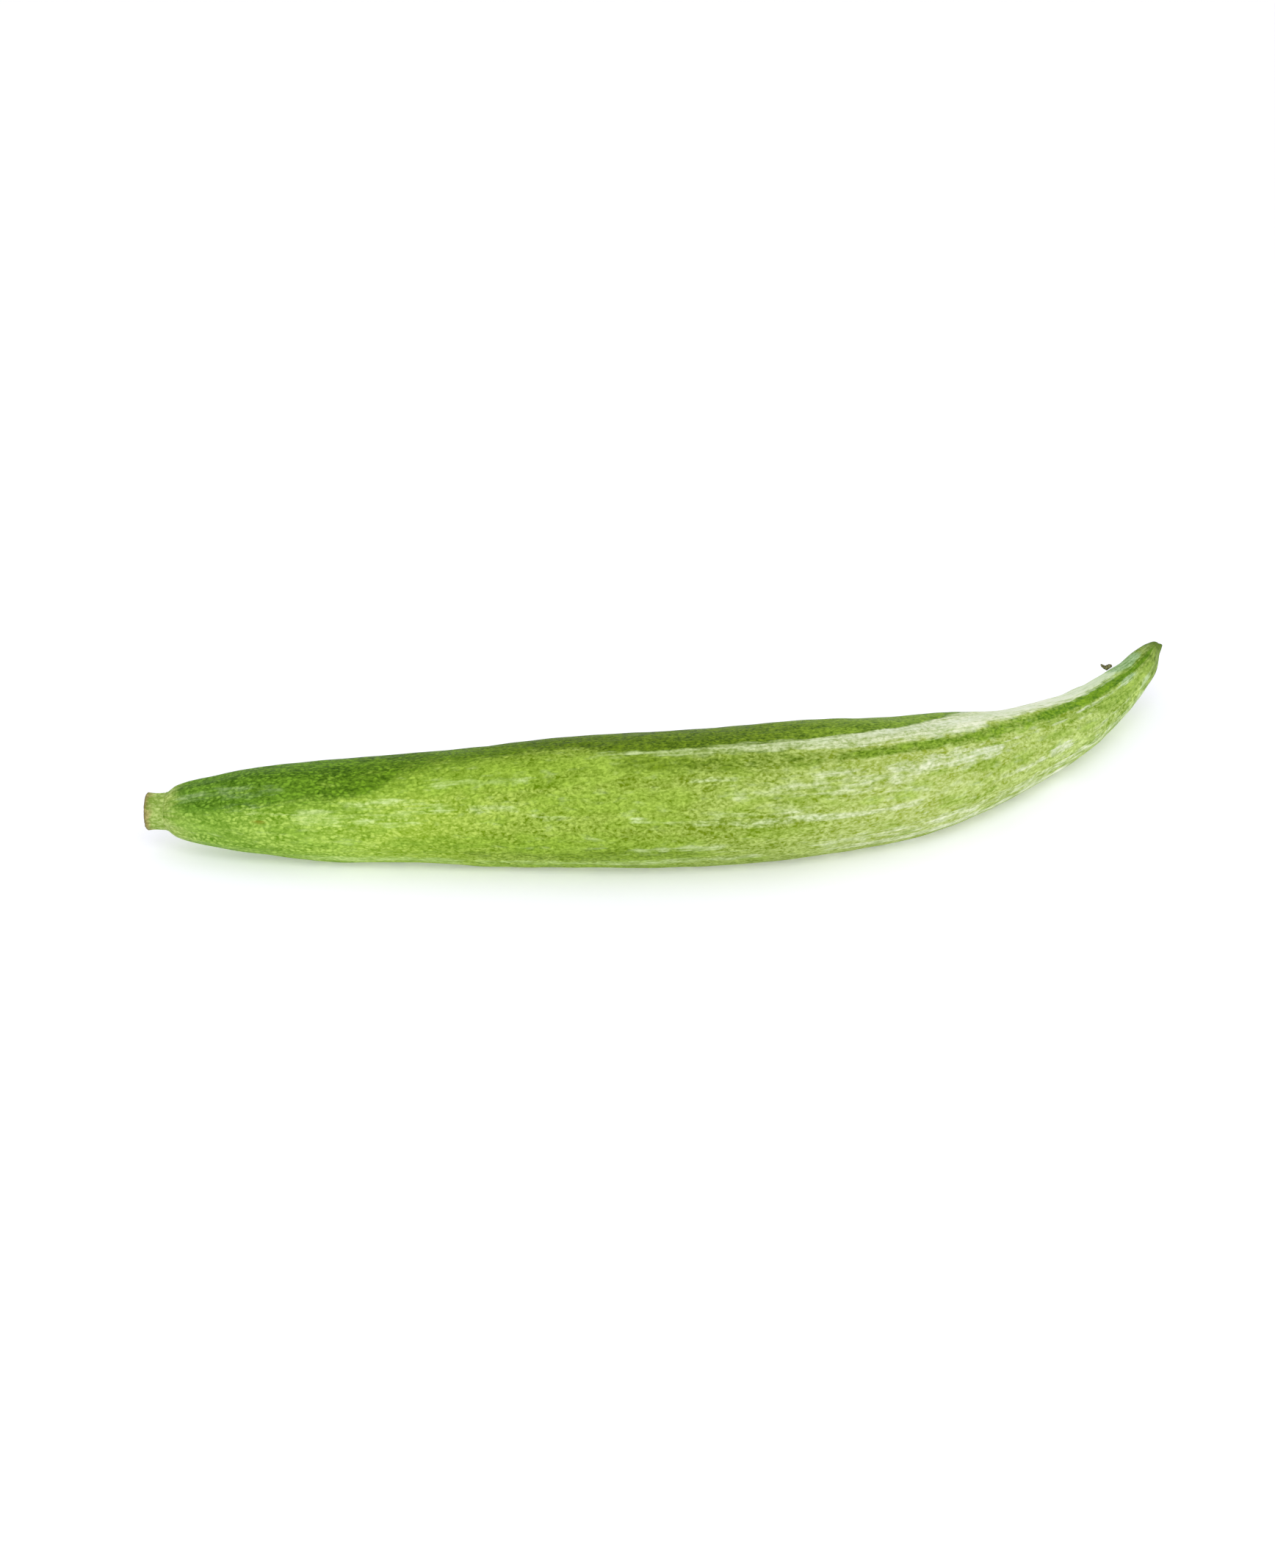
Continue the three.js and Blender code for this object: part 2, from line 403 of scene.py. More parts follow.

# %% Deep green strokes, with painted shade along the back
DEEP_GREEN_AND_SHADE_STROKES = [
    # the deep green band under the pale one, out to the tip
    (0.3, (162, 58, 8), (186, 53, 10), (215, 51, 11), (240, 51, 7)),
    (0.65, (232, 52, 4), (258, 50, 5), (290, 48, 7), (304, 49, 7)),
    (0.48, (292, 50, 9), (318, 52, 10), (334, 53, 9)),
    (0.85, (324, 53, 6.5), (350, 56, 9), (362, 57, 9.5)),
    (1.05, (352, 56, 8), (372, 57, 9), (396, 55, 6.5)),
    (1.1, (392, 53, 5), (424, 51, 4.7)),
    # the green back, from the stalk to the middle: the skin's own deep green, made darker by painted
    # shade from a second gourd that lay behind it
    (0.92, (12, 77, 32), (50, 79, 34), (72, 88, 34), (90, 99, 33), (110, 104, 28), (150, 105, 22)),
    (1.3, (136, 110, 17), (150, 105, 18), (162, 99, 20), (176, 95, 22.5), (230, 94, 22.5)),
    (1.3, (226, 94, 22.5), (258, 96, 22.5), (276, 104, 18), (300, 108, 12)),
    (0.75, (12, 36, 16), (30, 41, 16), (52, 48, 15), (68, 49, 14), (78, 54, 12), (90, 66, 8)),
    # a faint one low on the front
    (0.05, (106, -30, 12), (150, -32, 13), (194, -34, 12)),
    (0.25, (150, -26, 12), (194, -27, 12)),
]
print("deep green strokes:", len(DEEP_GREEN_AND_SHADE_STROKES))

# %% Fresh green clouds
FRESH_STROKES = [
    (0.5, (43, 5, 6), (62, -5, 8)),
    (0.5, (14, -10, 8), (36, -18, 8)),
    (0.7, (8, 24, 13), (34, 24, 11)),
    (0.5, (8, 0, 10), (30, 0, 10)),
    (0.6, (48, 27, 8), (82, 24, 8)),
    (0.6, (86, -14, 8), (118, -14, 12), (142, -20, 15)),
    (0.9, (140, -20, 15), (164, -22, 17), (192, -26, 14)),
    (0.6, (134, 28, 10), (160, 24, 13), (190, 24, 11)),
    (0.7, (76, 50, 14), (90, 54, 18), (120, 58, 20), (150, 57, 19), (190, 54, 12)),
    (0.55, (162, -14, 7), (170, -16, 7)),
    (0.7, (174, 3, 4), (181, 8, 5)),
    (0.6, (180, -18, 6), (188, -20, 6)),
    (0.6, (196, 47, 3), (208, 46, 3)),
    (0.7, (241, 9, 4), (249, 9, 4)),
    (0.8, (252, 9, 5), (259, 8, 5)),
    (0.5, (268, -10, 5), (282, -12, 5)),
    (0.7, (288, 14, 6), (297, 14, 6)),
    (0.5, (300, 12, 10), (314, 10, 10)),
    (0.7, (325, 21, 5), (341, 18, 6)),
    (0.6, (344, 14, 6), (360, 13, 6)),
    (1.0, (364, 28, 11), (397, 24, 15)),
    (0.3, (352, -14, 7), (372, -14, 7)),
    (0.45, (326, 44, 8), (350, 38, 10), (372, 38, 8)),
    (0.6, (398, 24, 10), (416, 26, 11)),
]
print("fresh green strokes:", len(FRESH_STROKES))

# %% Milky streaks, cool patches and blemishes
MILKY_STROKES = [
    (0.8, (54, 22, 2.4), (69, 23, 2.4)),
    (0.5, (44, 20, 2), (60, 20, 2)),
    (0.6, (37, 22, 3), (41, 22, 3)),
    (0.5, (74, 13, 3), (86, 12, 3)),
    (0.45, (72, 29, 2.5), (94, 34, 2.5)),
    (0.5, (98, 21, 2), (110, 21, 2)),
    (0.6, (113, 21.5, 4), (122, 22, 3), (131, 20, 3)),
    (0.5, (134, 13, 3.5), (147, 11, 3)),
    (0.5, (131, 48, 2.5), (137, 48, 2.5)),
    (0.4, (116, 53, 2.2), (123, 53, 2.2)),
    (0.3, (164, 68, 2), (176, 65, 2)),
    (0.4, (168, 6, 4), (174, 9, 4)),
    (0.35, (183, 39, 3), (205, 39, 2)),
    (0.6, (206, 67, 2), (240, 68, 3), (300, 73, 5)),
    (0.4, (206, 2, 2), (232, 1, 2)),
    (0.6, (300, 78, 6), (394, 92, 9)),
    (0.3, (326, 0, 6), (342, 0, 6)),
    (0.35, (386, 47, 3), (402, 47, 4)),
]
COOL_STROKES = [
    (0.3, (9, 52, 14), (30, 54, 13), (52, 50, 10)),
    (0.25, (26, 30, 8), (48, 29, 8)),
    (0.5, (112, 20, 4), (121, 20, 4)),
    (1.0, (394, 90, 22), (406, 90, 24), (416, 92, 22)),
    (0.5, (386, 45, 3), (404, 43, 4)),
]
BROWN_STROKES = [(1.0, (40.5, 10, 2.5), (42.5, 10, 2.5)), (0.2, (6, -20, 12), (9, 10, 12))]
print("milky, cool and brown:", len(MILKY_STROKES), len(COOL_STROKES), len(BROWN_STROKES))

# %% [markdown]
# The far side carries marks of the same kinds. Nobody can name their places, so beside a few long
# strokes a seeded draw scatters short ones between the two angles where the front leaves off.

# %% Strokes for the far side
FAR_ANGLES = (112, 312)  # degrees
FAR_STARTS = (20, 380)  # mm
FAR_END = 408  # mm
FAR_DRIFT = 6  # degrees


def scatter(count, lengths, half_widths, strengths, seed):
    draw = np.random.default_rng(seed)
    strokes = []
    for _ in range(count):
        angle = draw.uniform(*FAR_ANGLES)
        start = draw.uniform(*FAR_STARTS)
        end = min(start + draw.uniform(*lengths), FAR_END)
        half_width = draw.uniform(*half_widths)
        strength = draw.uniform(*strengths)
        drift = draw.uniform(-FAR_DRIFT, FAR_DRIFT)
        strokes.append((strength, (start, angle, half_width), (end, angle + drift, half_width)))
    return strokes


PALE_STROKES += [
    (0.75, (190, 146, 4), (260, 150, 8), (400, 138, 12)),
    (0.6, (90, 205, 3), (220, 208, 6), (330, 205, 5)),
    (0.6, (150, 262, 7), (380, 262, 10)),
]
DEEP_GREEN_AND_SHADE_STROKES += [
    (0.8, (170, 128, 6), (300, 124, 7), (415, 118, 7)),
    (0.5, (60, 222, 8), (260, 226, 8)),
]
PALE_STROKES += scatter(24, (15, 60), (2.5, 7), (0.4, 0.65), seed=5)
FRESH_STROKES += scatter(24, (10, 45), (4, 10), (0.4, 0.7), seed=6)
MILKY_STROKES += scatter(14, (10, 45), (1.8, 2.6), (0.5, 0.9), seed=7)
print("pale and deep strokes all round:", len(PALE_STROKES), "and", len(DEEP_GREEN_AND_SHADE_STROKES))

# %% [markdown]
# `brush` works out how deep inside a stroke each point of the skin lies. The result is highest on
# the middle line of the stroke and falls off smoothly to its sides and its ends, and below zero it
# is outside. The shader adds noise to that number before it looks for the edge, so the edge frays.

# %% Depth inside a stroke
FADE = 6.0  # mm over which a stroke fades at its ends


def brush(strokes, distance, around):
    skin = around - twist(distance)
    field = np.full(distance.shape, -1.0)
    for strength, *path in strokes:
        along, angle, half_width = np.array(path, float).T
        middle = np.interp(distance, along, angle)
        off = np.abs((skin - middle + 180) % 360 - 180) / np.interp(distance, along, half_width)
        past = np.maximum(np.maximum(along[0] - distance, distance - along[-1]), -FADE) / FADE + 1
        field = np.maximum(field, strength - 0.5 * off**2 - 0.5 * past**2)
    return np.maximum(field, -1)


# %% [markdown]
# ## The fruit
#
# The rings stand closer together at the two ends, where the radius changes fast. The skin starts
# just under the stalk's collar and swells into a soft shoulder round it. Behind the tip it has a
# hollow beside the dry scrap, and the low front of the thin half is drawn in a little.

# %% Reach of the skin from the axis
FRUIT_START = STALK_LENGTH - 0.3  # mm, just under the stalk's collar
COLLAR_TUCK = 0.05  # share of the reach by which the skin's first ring is drawn in
SHOULDER = 0.8  # mm that the fruit swells out round the stalk
HOLLOW_MIDDLE, HOLLOW_ANGLE = 406.0, 143.0  # mm and degrees
HOLLOW_LENGTH, HOLLOW_DEPTH = 8.5, 0.6  # mm
LOW_FRONT, LOW_FRONT_TUCK = -52.0, 0.9  # degrees and mm


def skin_reach(distance, around):
    reach = radius_at(distance) * rib_factor(distance, around) + relief(distance, around)
    reach *= 1 - COLLAR_TUCK + COLLAR_TUCK * ease(distance, FRUIT_START, FRUIT_START + 1.5)
    reach += SHOULDER * between(distance, (7.5, 10.5), (12, 26))
    towards_scrap = np.maximum(wave(1, around - HOLLOW_ANGLE), 0) ** 2
    reach -= HOLLOW_DEPTH * towards_scrap * np.exp(-(((distance - HOLLOW_MIDDLE) / HOLLOW_LENGTH) ** 2))
    low_front = np.maximum(wave(1, around - LOW_FRONT), 0) ** 4
    return reach - LOW_FRONT_TUCK * low_front * between(distance, (280, 340), (402, 420))


# %% [markdown]
# The flower broke away at the tip and left the blossom scar: a slanted rim that leans aside, with two
# lips, a dip between them on each side, and a sunk floor. Only the last few rings make it, so it is a
# matter of where their points move: out from the axis, ahead, aside and up.

# %% Rings of the fruit, with the blossom scar
FRUIT_RINGS = 400
FRUIT_SIDES = 236
CROWDING = 0.35  # share of the spacing that crowds towards the ends
RIM_LENGTH = 4.0  # mm at the tip over which the rim takes shape
SCAR_SLANT = 1.5  # mm that the rim stands further out on one side, and less far on the other
SLANT_ANGLE, LIP_ANGLE = -15.0, -20.0  # degrees, of the side that stands out, and of the high lip
SCAR_DEPTH = 1.5  # mm from the rim to the floor
RIM_FLARE, DIP_SQUEEZE = 0.25, 0.47  # mm that the rim opens out, and draws in again at the dips
DIP_ANGLE, DIP_DEPTH = 35.0, 0.56  # degrees and mm
LIP_RISE = 0.7  # mm
TIP_SHIFT, LEAN_LENGTH = 0.9, 16.0  # mm that the very tip leans aside, and over which it leans


def ring_distances(start, end, rings):
    even = np.linspace(0, 1, rings)
    eased = (1 - np.cos(math.pi * even)) / 2
    return start + (end - start) * ((1 - CROWDING) * even + CROWDING * eased)


def fruit_points(distance, around):
    nearly_there = ease(distance, LENGTH - RIM_LENGTH, LENGTH)
    dips = wave(1, around - DIP_ANGLE) ** 8
    reach = skin_reach(distance, around) + (RIM_FLARE - DIP_SQUEEZE * dips) * nearly_there
    forward = (SCAR_SLANT * wave(1, around - SLANT_ANGLE) - DIP_DEPTH * dips) * nearly_there
    points = place(distance, around, reach) + forward[..., None] * ahead[-1]
    lean = TIP_SHIFT * ease(distance, LENGTH - LEAN_LENGTH, LENGTH)
    points -= lean[..., None] * sideways[-1]
    points[..., 2] += LIP_RISE * np.maximum(wave(1, around - LIP_ANGLE), 0) * nearly_there
    return points


distance, around = grid(ring_distances(FRUIT_START, LENGTH, FRUIT_RINGS), FRUIT_SIDES)
rings = fruit_points(distance, around)
scar_floor = rings[-1].mean(0) - SCAR_DEPTH * ahead[-1]
print("rings of the fruit:", FRUIT_RINGS, "of", FRUIT_SIDES, "points")

# %% Marks on the fruit's points
marks = {
    "even": unbent(distance, around, EVEN_RADIUS),
    "flecks": counted_in_flecks(distance, around, radius_at(distance)),
}
strokes = {
    "pale": PALE_STROKES,
    "deep": DEEP_GREEN_AND_SHADE_STROKES,
    "fresh": FRESH_STROKES,
    "milky": MILKY_STROKES,
    "cool": COOL_STROKES,
    "brown": BROWN_STROKES,
}
for mark, table in strokes.items():
    marks[mark] = brush(table, distance, around)
    print(f"{mark}: {np.mean(marks[mark] > 0):.0%} of the fruit's points")

# %% [markdown]
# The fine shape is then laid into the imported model's box, which the fruit and the cut edge of the
# stalk fill between them. Both come from the same tables, so each side changes by less than one part
# in two hundred.

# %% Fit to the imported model
cut_edge = place(np.zeros(4), np.arange(4) * 90.0, np.full(4, STALK_RADIUS))
own_points = np.concatenate([rings.reshape(-1, 3), cut_edge])
own_low, own_high = own_points.min(0), own_points.max(0)
fit = np.array(cad_high - cad_low) / (own_high - own_low)


def to_frame(points):
    return np.array(cad_low) + (points - own_low) * fit


print("fit of the three sides:", np.round(fit * 1000, 4))

# %% Model the fruit
fruit_foot = to_frame(on_axis(FRUIT_START))
fruit = tube("gourd_fruit", to_frame(rings), fruit_foot, to_frame(scar_floor), marks)
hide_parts("fruit")
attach(fruit, "root")

# %% [markdown]
# ## The stub of the stalk
#
# The stalk was cut a few millimetres from the fruit. It is tougher than the skin: shallow flutes run
# along it, its rim has dried and rounded, and its cut face has sunk in the middle, with ends of
# fibres standing out of it. The rings run from the middle of the cut face out to the rim, and then
# along the side to the fruit.

# %% Rings of the stalk stub
STALK_SIDES = 144
FACE_RINGS, RIM_RINGS, SIDE_RINGS = 16, 7, 25
FIRST_FACE_RING = 0.04  # as a share of the face's radius
RIM = 0.7  # mm, how far the cut edge is rounded
STALK_END = STALK_LENGTH + 0.5  # mm, a little way inside the fruit
DISH_DEPTH, FIBRE_HEIGHT, CREASE_DEPTH = 0.75, 0.09, 0.07  # mm
FIBRE_WAVES = dict(count=30, lobes=(5, 30), lengths=(5, 16), seed=31)
CREASE_WAVES = dict(count=14, lobes=(11, 34), lengths=(9, 30), seed=33)
FACE_MIDDLE = 0.8  # mm in from the cut
LEAST_DEPTH = 0.02  # mm; no fibre stands out past the cut
SIDE_INSET, WAIST = 0.2, 0.25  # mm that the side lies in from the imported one, and narrows midway
FACE_RADIUS = STALK_RADIUS - RIM


def stalk_outline():
    """Reach, distance from the cut, and share of cut face, from the middle of the face to the fruit."""
    face = np.linspace(FIRST_FACE_RING, 1, FACE_RINGS)
    turn = np.linspace(0, math.pi / 2, RIM_RINGS + 1)[1:]
    side = np.linspace(RIM, STALK_END, SIDE_RINGS + 1)[1:]
    rim_reach = STALK_RADIUS - RIM * (1 - np.sin(turn))
    reach = np.concatenate([face * FACE_RADIUS, rim_reach, np.full(SIDE_RINGS, STALK_RADIUS)])
    back = np.concatenate([np.zeros(FACE_RINGS), RIM * (1 - np.cos(turn)), side])
    on_face = np.concatenate([np.ones(FACE_RINGS), 1 - turn / (math.pi / 2), np.zeros(SIDE_RINGS)])
    return reach, back, on_face


def stalk_rings():
    reach, back, on_face = stalk_outline()
    reach, around = grid(reach, STALK_SIDES)
    back, on_face = (np.repeat(values[:, None], STALK_SIDES, axis=1) for values in (back, on_face))
    dish = DISH_DEPTH * np.maximum(1 - (reach / FACE_RADIUS) ** 2, 0) * on_face
    fibres = FIBRE_HEIGHT * ripples(4 * reach, around, **FIBRE_WAVES) * on_face
    back = np.maximum(back + dish + fibres, LEAST_DEPTH)
    to_fruit = ease(back, STALK_LENGTH - 3, STALK_LENGTH)
    creases = CREASE_DEPTH * ripples(back, around, **CREASE_WAVES) * (1 - to_fruit)
    waist = WAIST * np.sin(np.clip(back / STALK_LENGTH, 0, 1) * math.pi)
    flutes = FLUTE_DEPTH * wave(FLUTES, around)
    reach = reach + (flutes + creases - SIDE_INSET - waist) * (1 - on_face)
    return back, around, reach, on_face


back, stalk_around, reach, on_face = stalk_rings()
print("the stub has", len(back), "rings, and its face is sunk by", round(back[0].mean(), 2), "mm")

# %% Model the stalk stub
stalk = tube(
    "gourd_stalk_stub",
    to_frame(place(back, stalk_around, reach)),
    to_frame(on_axis(FACE_MIDDLE)),
    to_frame(on_axis(STALK_END)),
    {
        "even": unbent(back, stalk_around, STALK_RADIUS),
        "flecks": counted_in_flecks(back, stalk_around, STALK_RADIUS),
        "grain": unbent(back, stalk_around, reach),
        "face": on_face,
        "reach": reach / STALK_RADIUS,
    },
)
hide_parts("stalk_stub")
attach(stalk, "root")

# %% [markdown]
# ## The dry scrap of tendril
#
# A few millimetres of dead tendril have stuck to the skin near the tip. Its foot lies along the skin
# and its other end curls up and away. It is a flattened, crumpled tube along a short bent path that
# lies in one plane, square to the skin.

# %% Path of the dry scrap
SCRAP_STATION = 0.928 * LENGTH  # mm
SCRAP_AROUND = 137.0  # degrees
SCRAP_FOOT = 4.0  # mm of skin that its foot lies along
SCRAP_LIFT, SCRAP_SHIFT = 0.22, 0.25  # mm off the skin, and round the fruit
SCRAP_X = [(0, 4.6), (0.3, 3.1), (0.52, 1.55), (0.75, 0.1), (1, -0.45)]  # mm towards the tip
SCRAP_Y = [(0, 0.55), (0.3, 0.65), (0.52, 0.75), (0.75, 1.7), (1, 3.15)]  # mm out from the skin
SCRAP_HALF_WIDTH = [  # mm
    (0, 0.25), (0.12, 0.6), (0.35, 0.95), (0.58, 1.0), (0.75, 0.75), (0.92, 0.6), (1, 0.25),
]
SCRAP_FLATNESS = 0.44  # thickness as a share of the width
CRUMPLE = 0.16  # as a share of the half width
CRUMPLE_WAVES = dict(count=16, lobes=(2, 6), lengths=(5, 16), seed=41)
WRIGGLE = 0.12  # mm from side to side


def scrap_axes():
    """The foot on the skin, and the ways towards the tip, out of the skin and round the fruit."""
    spots = np.array([SCRAP_STATION, SCRAP_STATION + SCRAP_FOOT])
    foot, next_foot = place(spots, np.full(2, SCRAP_AROUND), radius_at(spots))
    slope = (next_foot - foot) / np.linalg.norm(next_foot - foot)
    across = np.cross(slope, foot - on_axis(SCRAP_STATION))
    across /= np.linalg.norm(across)
    return foot, slope, np.cross(across, slope), across


def scrap_labels(sides=20, rings=40):
    share, around = grid(np.linspace(0, 1, rings), sides)
    x, y = smooth(SCRAP_X, share), smooth(SCRAP_Y, share)
    run = np.stack([np.gradient(x, axis=0), np.gradient(y, axis=0)], axis=-1)
    run /= np.linalg.norm(run, axis=-1, keepdims=True)
    crumple = 1 + CRUMPLE * ripples(30 * share, around, **CRUMPLE_WAVES)
    half = smooth(SCRAP_HALF_WIDTH, share) * crumple
    angle = np.radians(around)
    x = x - run[..., 1] * half * np.cos(angle)
    y = np.maximum(y + run[..., 0] * half * np.cos(angle), 0)
    z = SCRAP_SHIFT + SCRAP_FLATNESS * half * np.sin(angle) + WRIGGLE * np.sin(share * 9)
    return np.stack([x, y, z], axis=-1)


labels = scrap_labels()
print("the scrap in its own plane, in mm:", np.round(np.ptp(labels, axis=(0, 1)), 1))

# %% Model the dry scrap
foot, slope, outward, across = scrap_axes()
placed = to_frame(foot + SCRAP_LIFT * outward + labels @ np.stack([slope, outward, across]))
scrap = tube("dry_tendril_scrap", placed, placed[0].mean(0), placed[-1].mean(0), {"unbent": labels})
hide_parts("dried_tendril_scrap")
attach(scrap, "root")

scrap_low, scrap_high = (np.array(corner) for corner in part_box("dried_tendril_scrap"))
room = [placed.min((0, 1)) - scrap_low, scrap_high - placed.max((0, 1))]
print("packed scrap in mm:", np.round(1000 * (scrap_high - scrap_low), 1))
print("room round the modelled scrap in mm:", np.round(1000 * np.stack(room), 2).tolist())

# %% [markdown]
# ## Writing materials as sums
#
# A material is a net of nodes, and most of the nodes only add, multiply or compare. `Value` wraps a
# socket, so that Python's own signs make those nodes: `1 - mask` adds a Math node.


# %% A socket with Python's operators
class Value:
    def __init__(self, finish, socket):
        self.finish = finish
        self.socket = socket

    def math(self, operation, *inputs):
        return self.finish.node("ShaderNodeMath", {"operation": operation}, dict(enumerate(inputs)))

    def __add__(self, other):
        return self.math("ADD", self, other)

    def __sub__(self, other):
        return self.math("SUBTRACT", self, other)

    def __rsub__(self, other):
        return self.math("SUBTRACT", other, self)

    def __mul__(self, other):
        return self.math("MULTIPLY", self, other)

    __radd__ = __add__
    __rmul__ = __mul__

    def twin(self, out):
        """Another output of the same node."""
        return Value(self.finish, self.socket.node.outputs[out])


# %% [markdown]
# `Finish` holds one material. Its `node` method makes any other node, from a type, its settings and
# its sockets, and the short methods after it are the nodes that come again and again. `noise` gets
# the width and the length of its blotches in the units of the labels that it is laid on.


# %% A material under construction
class Finish:
    def __init__(self, name, constants):
        self.material = bpy.data.materials.new(name)
        self.material.use_nodes = True
        self.nodes = self.material.node_tree.nodes
        self.links = self.material.node_tree.links
        self.shader = self.nodes["Principled BSDF"]
        self.set(constants)

    def feed(self, socket, value):
        if isinstance(value, Value):
            self.links.new(value.socket, socket)
        else:
            socket.default_value = value

    def set(self, sockets):
        for name, value in sockets.items():
            self.feed(self.shader.inputs[name], value)

    def node(self, kind, settings, sockets, out=0):
        node = self.nodes.new(kind)
        for name, value in settings.items():
            if name == "stops":
                set_stops(node.color_ramp, value)
            else:
                setattr(node, name, value)
        for name, value in sockets.items():
            self.feed(node.inputs[name], value)
        return Value(self, node.outputs[out])

    def mix(self, factor, first, second):
        return self.node("ShaderNodeMix", {"data_type": "RGBA"}, {0: factor, 6: first, 7: second}, 2)

    def step(self, value, low, high):
        settings = {"interpolation_type": "SMOOTHSTEP"}
        return self.node("ShaderNodeMapRange", settings, {0: value, 1: low, 2: high})

    def ramp(self, value, stops):
        return self.node("ShaderNodeValToRGB", {"stops": stops}, {0: value})

    def attribute(self, name, out="Fac"):
        return self.node("ShaderNodeAttribute", {"attribute_name": name}, {}, out)

    def scaled(self, vector, factors, shift=(0, 0, 0)):
        settings = {"operation": "MULTIPLY_ADD"}
        return self.node("ShaderNodeVectorMath", settings, {0: vector, 1: factors, 2: shift})

    def noise(self, vector, width, length, seed, detail=3.0):
        spread = self.scaled(vector, (1 / width, 1 / width, 1 / length), (seed, 7 * seed, 3 * seed))
        return self.node("ShaderNodeTexNoise", {}, {"Vector": spread, "Scale": 1.0, "Detail": detail})

    def cells(self, vector, scale):
        return self.node("ShaderNodeTexVoronoi", {}, {"Vector": vector, "Scale": scale}, "Distance")

    def bump(self, height, distance):
        sockets = {"Height": height, "Distance": distance}
        self.set({"Normal": self.node("ShaderNodeBump", {}, sockets, "Normal")})


def set_stops(ramp, stops):
    for _ in stops[2:]:
        ramp.elements.new(0.5)
    for element, (position, colour) in zip(ramp.elements, stops):
        element.position = position
        element.color = colour


# %% [markdown]
# Colours are written the way a painter's program shows them, 0 to 255 for red, green and blue. The
# shader counts in linear light, so `paint` turns the one into the other.


# %% Colours in linear light
def paint(red, green, blue):
    shares = [channel / 255 for channel in (red, green, blue)]
    return tuple(c / 12.92 if c <= 0.04045 else ((c + 0.055) / 1.055) ** 2.4 for c in shares) + (1.0,)


print("middle grey in linear light:", round(paint(128, 128, 128)[0], 3))

# %% [markdown]
# ## The skin
#
# The skin is a green net with light flecks in its meshes, and both colours change along the fruit,
# so each is a ramp over the distance. A tone between 0 and 1 picks between the two at each point.
# The strokes have nets and flecks of their own: fresh green, deep green, pale and cool. A picture
# laid on the mesh would be quicker, but a pattern made of noise stays sharp from near by.

# %% Colours of the plain skin
NET = [
    (0.02, paint(125, 155, 50)), (0.05, paint(90, 135, 20)), (0.15, paint(110, 150, 15)),
    (0.22, paint(125, 160, 20)), (0.3, paint(105, 135, 0)), (0.4, paint(105, 130, 0)),
    (0.49, paint(115, 140, 20)), (0.6, paint(145, 165, 45)), (0.74, paint(135, 160, 30)),
    (0.82, paint(125, 155, 15)), (0.92, paint(115, 150, 20)), (0.98, paint(90, 120, 25)),
]
FLECK = [
    (0.02, paint(190, 210, 120)), (0.05, paint(170, 205, 90)), (0.15, paint(190, 220, 100)),
    (0.22, paint(190, 215, 95)), (0.3, paint(185, 210, 95)), (0.4, paint(180, 205, 95)),
    (0.49, paint(190, 210, 115)), (0.6, paint(205, 220, 145)), (0.74, paint(205, 225, 135)),
    (0.82, paint(215, 235, 145)), (0.92, paint(210, 235, 130)), (0.98, paint(155, 180, 85)),
]

# %% Colours of the strokes
FRESH_NET = [
    (0.05, paint(80, 125, 0)), (0.3, paint(95, 130, 0)), (0.55, paint(110, 140, 0)),
    (0.85, paint(100, 140, 0)),
]
FRESH_FLECK = [
    (0.05, paint(155, 195, 75)), (0.3, paint(170, 205, 70)), (0.55, paint(180, 205, 95)),
    (0.85, paint(180, 210, 95)),
]
DEEP_NET = [
    (0.05, paint(55, 95, 0)), (0.16, paint(45, 80, 0)), (0.34, paint(55, 80, 0)),
    (0.5, paint(60, 90, 0)), (0.62, paint(75, 110, 0)), (0.8, paint(70, 120, 0)),
    (0.97, paint(75, 115, 0)),
]
DEEP_FLECK = [
    (0.05, paint(120, 165, 50)), (0.16, paint(120, 165, 35)), (0.34, paint(110, 140, 20)),
    (0.5, paint(130, 160, 35)), (0.62, paint(150, 185, 60)), (0.8, paint(145, 185, 30)),
    (0.97, paint(120, 165, 30)),
]
PALE_NET = [
    (0.14, paint(145, 185, 70)), (0.3, paint(140, 170, 55)), (0.45, paint(140, 165, 75)),
    (0.58, paint(160, 180, 110)), (0.8, paint(215, 235, 185)), (0.97, paint(145, 180, 115)),
]
PALE_FLECK = [
    (0.14, paint(210, 230, 145)), (0.3, paint(205, 230, 150)), (0.45, paint(210, 225, 165)),
    (0.58, paint(240, 245, 210)), (0.8, paint(255, 255, 240)), (0.97, paint(200, 230, 170)),
]
MILK = [
    (0.14, paint(210, 230, 155)), (0.5, paint(215, 230, 180)), (0.6, paint(230, 240, 215)),
    (0.85, paint(230, 240, 215)), (0.95, paint(185, 210, 165)),
]
COOL_NET = [
    (0.1, paint(100, 135, 70)), (0.5, paint(115, 145, 65)), (0.9, paint(95, 145, 75)),
]
COOL_FLECK = [
    (0.1, paint(175, 195, 140)), (0.5, paint(195, 215, 155)), (0.9, paint(180, 215, 170)),
]
BROWN = paint(140, 120, 26)
SCAR = paint(76, 104, 20)
print("stops along the fruit:", len(NET), "in the net and", len(DEEP_NET), "in the deep green")

# %% [markdown]
# The tone of the flecks adds up three things: the round spots of a Voronoi texture, each with a
# brightness of its own, smaller crumbs between them, and a maze of noise. Near the stalk the spots
# are strong, and further on the maze takes over. A coarser noise bends all of them first, so that
# they don't stand in rows.


